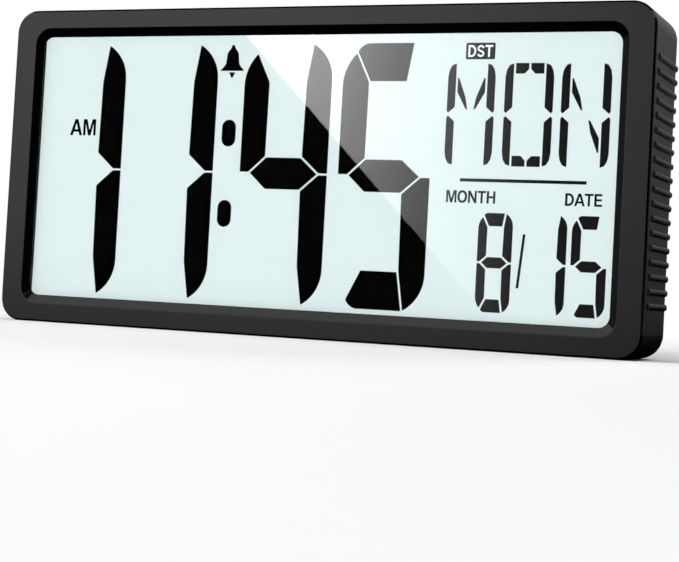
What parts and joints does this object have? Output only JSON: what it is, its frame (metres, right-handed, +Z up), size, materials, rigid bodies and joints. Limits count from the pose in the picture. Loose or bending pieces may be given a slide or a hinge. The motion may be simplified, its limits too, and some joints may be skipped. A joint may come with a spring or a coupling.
{
  "type": "large display calendar alarm clock",
  "caption": "Wide large-digit calendar clock with a recessed flat display, black moulded case, ribbed side grips, rear controls, battery bay, fold-out stand and wall-hanging keyholes.",
  "frame": {"origin": "centre of the flat base, on the surface that the clock stands on", "axes": "+X to the right seen from the front, along the width; +Y from the display towards the rear; +Z up"},
  "size_m": [0.3522, 0.05, 0.168],
  "materials": {
    "case_black": "fine moulded grain, satin",
    "bezel_black": "fine moulded grain, satin",
    "key_black": "smooth satin",
    "clear_acrylic": "polished clear",
    "display_glass": "polished",
    "display_ground": "pale reflective display ground",
    "film": "smooth film",
    "reflector": "pearly film",
    "display_ink": "flat black",
    "foam": "closed-cell foam",
    "holder_white": "moulded",
    "elastomer": "layered elastomer",
    "board_green": "solder mask",
    "resin_black": "poured resin",
    "steel": "zinc plated",
    "contact_nickel": "nickel plated",
    "brass_disc": "rolled",
    "cell_jacket": "plain printed jacket",
    "lead_red": "vinyl",
    "lead_black": "vinyl",
    "lead_grey": "vinyl"
  },
  "bodies": {
    "case": {"front_bezel": "bezel_black", "lens_tape": "foam", "display_lens": "clear_acrylic", "dust_gasket": "foam", "front_polariser": "film", "lcd_front_glass": "display_glass", "lcd_time_segments": "display_ink", "lcd_weekday_segments": "display_ink", "lcd_date_segments": "display_ink", "lcd_rear_glass": "display_ground", "reflector_film": "reflector", "lcd_holder": "holder_white", "holder_screws": "steel", "zebra_strips": "elastomer", "main_board": "board_green", "board_screws": "steel", "controller_blob": "resin_black", "quartz_crystal": "steel", "board_capacitors": "resin_black", "rear_case": "case_black", "case_screws": "steel", "battery_leaf_springs": "contact_nickel", "battery_link_plate": "contact_nickel", "negative_terminal": "contact_nickel", "positive_terminal": "contact_nickel", "battery_lead_black": "lead_black", "battery_lead_red": "lead_red", "buzzer_leads": "lead_red", "key_ribbon_cable": "lead_grey", "stand_hinge_pin": "steel", "key_board": "board_green", "key_board_screws": "steel", "key_switches": "resin_black", "alarm_switch_body": "steel", "piezo_disc": "brass_disc", "battery_cell_1": "cell_jacket", "battery_cell_2": "cell_jacket", "battery_cell_3": "cell_jacket", "battery_cell_4": "cell_jacket"},
    "stand": {"stand_leg": "case_black"},
    "battery_door": {"battery_door": "case_black", "battery_door_pad": "foam"},
    "alarm_slider": {"alarm_slider": "key_black"},
    "set_button": {"set_button": "key_black", "set_plunger": "key_black"},
    "mode_button": {"mode_button": "key_black", "mode_plunger": "key_black"},
    "up_button": {"up_button": "key_black", "up_plunger": "key_black"},
    "down_button": {"down_button": "key_black", "down_plunger": "key_black"},
    "alarm_button": {"alarm_button": "key_black", "alarm_plunger": "key_black"},
    "snooze_button": {"snooze_button": "key_black", "snooze_plunger": "key_black"}
  },
  "joints": [
    {"name": "stand_hinge", "type": "hinge", "parent": "case", "child": "stand", "pos_m": [0, 0.0202, 0.107], "axis": [1, 0, 0], "range_deg": [0, 30]},
    {"name": "battery_door_hinge", "type": "hinge", "parent": "case", "child": "battery_door", "pos_m": [0.095, 0.025, 0.0507], "axis": [-1, 0, 0], "range_deg": [0, 75]},
    {"name": "alarm_switch_slide", "type": "slide", "parent": "case", "child": "alarm_slider", "axis": [1, 0, 0], "range_m": [0, 0.004]},
    {"name": "set_button_press", "type": "slide", "parent": "case", "child": "set_button", "axis": [0, -1, 0], "range_m": [0, 0.0008], "stiffness_N_per_m": 1500, "springref_m": -0.0002},
    {"name": "mode_button_press", "type": "slide", "parent": "case", "child": "mode_button", "axis": [0, -1, 0], "range_m": [0, 0.0008], "stiffness_N_per_m": 1500, "springref_m": -0.0002},
    {"name": "up_button_press", "type": "slide", "parent": "case", "child": "up_button", "axis": [0, -1, 0], "range_m": [0, 0.0008], "stiffness_N_per_m": 1500, "springref_m": -0.0002},
    {"name": "down_button_press", "type": "slide", "parent": "case", "child": "down_button", "axis": [0, -1, 0], "range_m": [0, 0.0008], "stiffness_N_per_m": 1500, "springref_m": -0.0002},
    {"name": "alarm_button_press", "type": "slide", "parent": "case", "child": "alarm_button", "axis": [0, -1, 0], "range_m": [0, 0.0008], "stiffness_N_per_m": 1500, "springref_m": -0.0002},
    {"name": "snooze_button_press", "type": "slide", "parent": "case", "child": "snooze_button", "axis": [0, -1, 0], "range_m": [0, 0.0008], "stiffness_N_per_m": 1500, "springref_m": -0.0002}
  ]
}
